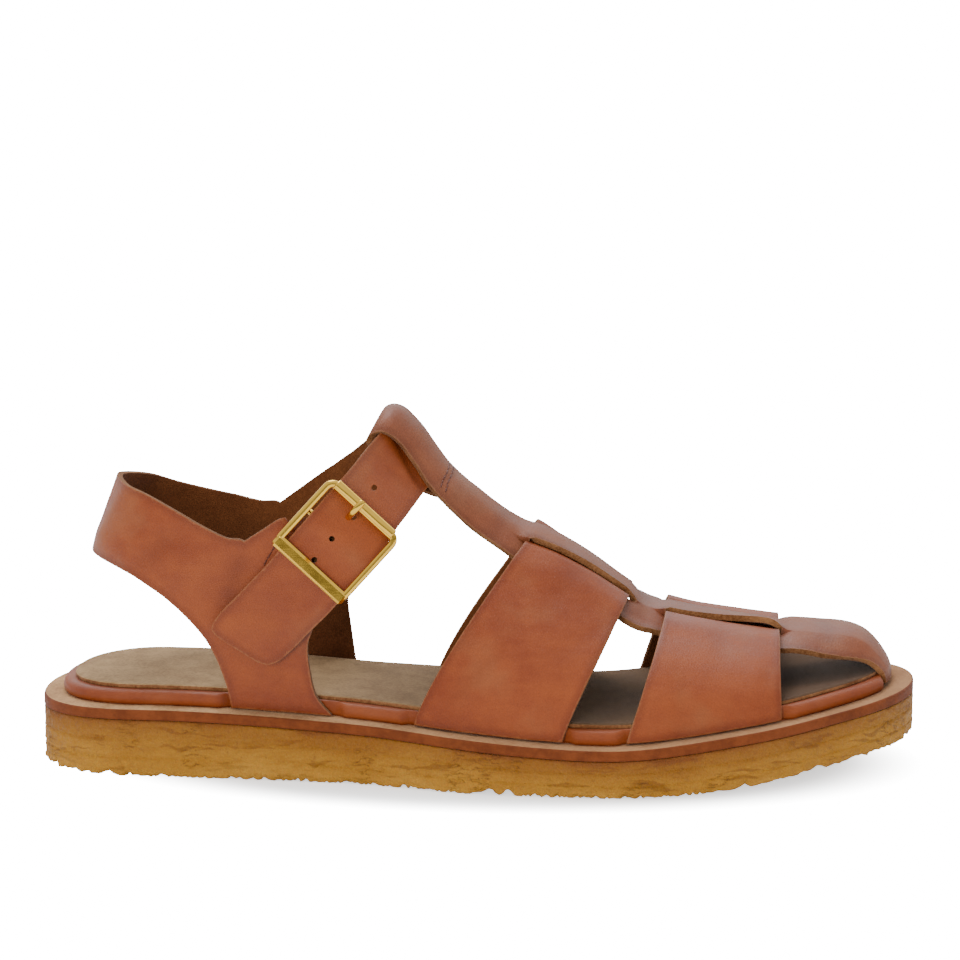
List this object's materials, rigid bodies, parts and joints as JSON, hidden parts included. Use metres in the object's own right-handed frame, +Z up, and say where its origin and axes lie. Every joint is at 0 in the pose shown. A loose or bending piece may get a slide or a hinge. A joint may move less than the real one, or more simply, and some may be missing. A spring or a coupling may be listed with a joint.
{
  "type": "fisherman sandal",
  "caption": "Brown leather fisherman sandal, right shoe, with woven straps, a closed heel strap, a brass roller buckle and a thick crepe sole.",
  "frame": {"origin": "on the floor, midway between heel and toe and midway between the two sides of the sole", "axes": "+X towards the toe, +Y towards the inner side of the foot, +Z up from the floor"},
  "size_m": [0.268, 0.0986, 0.1092],
  "materials": {
    "crepe": "matt layered crepe",
    "runner": "raw pale face, stained edge",
    "wrap": "satin",
    "sock_suede": "matt brushed",
    "strap_leather": "satin, creased",
    "buckle_metal": "polished"
  },
  "bodies": {
    "root": {"outsole": "crepe", "midsole": "runner", "footbed": "wrap", "sock": "sock_suede", "upper": "strap_leather", "buckle_frame": "buckle_metal", "buckle_roller": "buckle_metal", "buckle_prong": "buckle_metal"}
  },
  "joints": []
}
